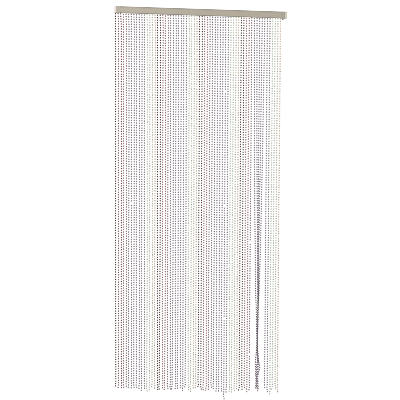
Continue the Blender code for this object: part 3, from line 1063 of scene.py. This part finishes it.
@dataclass
class Studio:
    """The floor, the white surround, the lights and the camera."""

    floor_level: float = -2.11
    floor_half: float = 40.0
    floor_shade: float = 0.08
    floor_glow: float = 0.985
    floor_light: float = 0.7
    backdrop: float = 1.01
    surround: float = 0.6
    overhead: float = 0.12
    camera_place: Triple = (-0.09865628803, -4.0, -0.81001603806)
    pitch: float = np.radians(2.406375)
    yaw: float = np.radians(1.419999)
    roll: float = np.radians(0.267085)
    focal_pixels: float = 759.7393
    frame_pixels: float = 400.0
    sensor: float = 36.0
    clip_end: float = 200.0
    filter_width: float = 0.8

    def white_to_camera(self, nodes: Nodes, seen: float,
                        given: float | bpy.types.NodeSocket) -> bpy.types.NodeSocket:
        """A brightness that is one value where the camera sees it and another where it lights."""
        camera_ray = nodes.add("ShaderNodeLightPath").outputs["Is Camera Ray"]
        change = nodes.maths("SUBTRACT", seen, given)
        return nodes.maths("MULTIPLY_ADD", camera_ray, change, given)

    def build_floor(self) -> None:
        """Lays a plain white floor that is as white to the camera as the surround behind it."""
        half, level = self.floor_half, self.floor_level
        mesh = bpy.data.meshes.new("floor")
        mesh.from_pydata([(-half, -half, level), (half, -half, level), (half, half, level),
                          (-half, half, level)], [], [(0, 1, 2, 3)])
        material, nodes = new_material("white_floor")
        shader = nodes.add("ShaderNodeBsdfPrincipled", {
            "Base Color": (self.floor_shade, self.floor_shade, self.floor_shade, 1.0),
            "Roughness": 0.9,
            "Specular IOR Level": 0.0,
            "Emission Color": (1.0, 1.0, 1.0, 1.0),
            "Emission Strength": self.white_to_camera(nodes, self.floor_glow, self.floor_light),
        })
        nodes.add("ShaderNodeOutputMaterial", {"Surface": shader.outputs[0]})
        mesh.materials.append(material)
        floor = new_object("floor", mesh)

    def build_world(self) -> None:
        """Makes the surround: just past pure white to the camera, and a softer white as light.

        Its light falls from the surround's value at the horizon to the overhead value at the top,
        with the height of the direction it comes from.
        """
        world = bpy.data.worlds.new("studio")
        world.use_nodes = True
        nodes = Nodes(world.node_tree)
        direction = nodes.add("ShaderNodeTexCoord").outputs["Generated"]
        height = nodes.add("ShaderNodeSeparateXYZ", {0: direction}).outputs["Z"]
        raised = nodes.maths("MAXIMUM", height, 0.0)
        light = nodes.maths("MULTIPLY_ADD", raised, self.overhead - self.surround, self.surround)
        strength = self.white_to_camera(nodes, self.backdrop, light)
        background = nodes.add("ShaderNodeBackground", {"Color": (1, 1, 1, 1), "Strength": strength})
        nodes.add("ShaderNodeOutputWorld", {"Surface": background.outputs[0]})
        bpy.context.scene.world = world

    def build_lights(self) -> None:
        """Hangs the lamps, each turned to shine on its target."""
        for lamp in LAMPS:
            data = bpy.data.lights.new(lamp.name, "AREA")
            data.shape = "SQUARE"
            data.size = lamp.size
            data.energy = lamp.power
            forward = np.array(lamp.target) - np.array(lamp.place)
            forward /= np.linalg.norm(forward)
            right = np.cross(forward, np.array([0.0, 0.0, 1.0]))
            right /= np.linalg.norm(right)
            new_object(lamp.name, data).matrix_world = pose(lamp.place, forward, right)

    def build_camera(self) -> None:
        """Places the camera as it stood for the photograph.

        Its forward direction comes from the yaw and pitch. Its right-hand direction starts level
        and square to that, and is then turned up by the roll.
        """
        a, p, r = self.yaw, self.pitch, self.roll
        forward = np.array([np.sin(a) * np.cos(p), np.cos(a) * np.cos(p), -np.sin(p)])
        level = np.array([np.cos(a), -np.sin(a), 0.0])
        right = level * np.cos(r) + np.cross(level, forward) * np.sin(r)
        data = bpy.data.cameras.new("camera")
        data.sensor_width = self.sensor
        data.lens = self.focal_pixels / self.frame_pixels * self.sensor
        data.clip_end = self.clip_end
        camera = new_object("camera", data)
        camera.matrix_world = pose(self.camera_place, forward, right)
        bpy.context.scene.camera = camera

    def build(self) -> None:
        """Sets up the whole studio with a plain view transform."""
        self.build_camera()
        self.build_floor()
        self.build_world()
        self.build_lights()
        bpy.context.scene.view_settings.view_transform = "Standard"
        # A bead is hardly wider than a pixel of the picture. Denoising smears such dots, and so
        # does the usual pixel filter.
        bpy.context.scene.cycles.use_denoising = False
        bpy.context.scene.cycles.filter_width = self.filter_width


def main() -> None:
    """Builds the studio, the rail, its caps and all the strands."""
    logging.basicConfig(level=logging.INFO, format="%(name)s %(message)s")
    Studio().build()
    Rail().build()
    # Both caps are the same plastic: the left cap's lighter cream colours are painted light and the
    # right cap's greyer colours painted shade.
    EndCap("end_cap_left", -1, "lit_cream", (0.86, 0.80, 0.735), (0.75, 0.68, 0.60)).build()
    EndCap("end_cap_right", 1, "shaded_grey", (0.66, 0.63, 0.54), (0.60, 0.58, 0.50)).build()
    curtain = Curtain()
    curtain.build_strips()
    curtain.build_threads()
    curtain.build_beads()


if __name__ == "__main__":
    main()
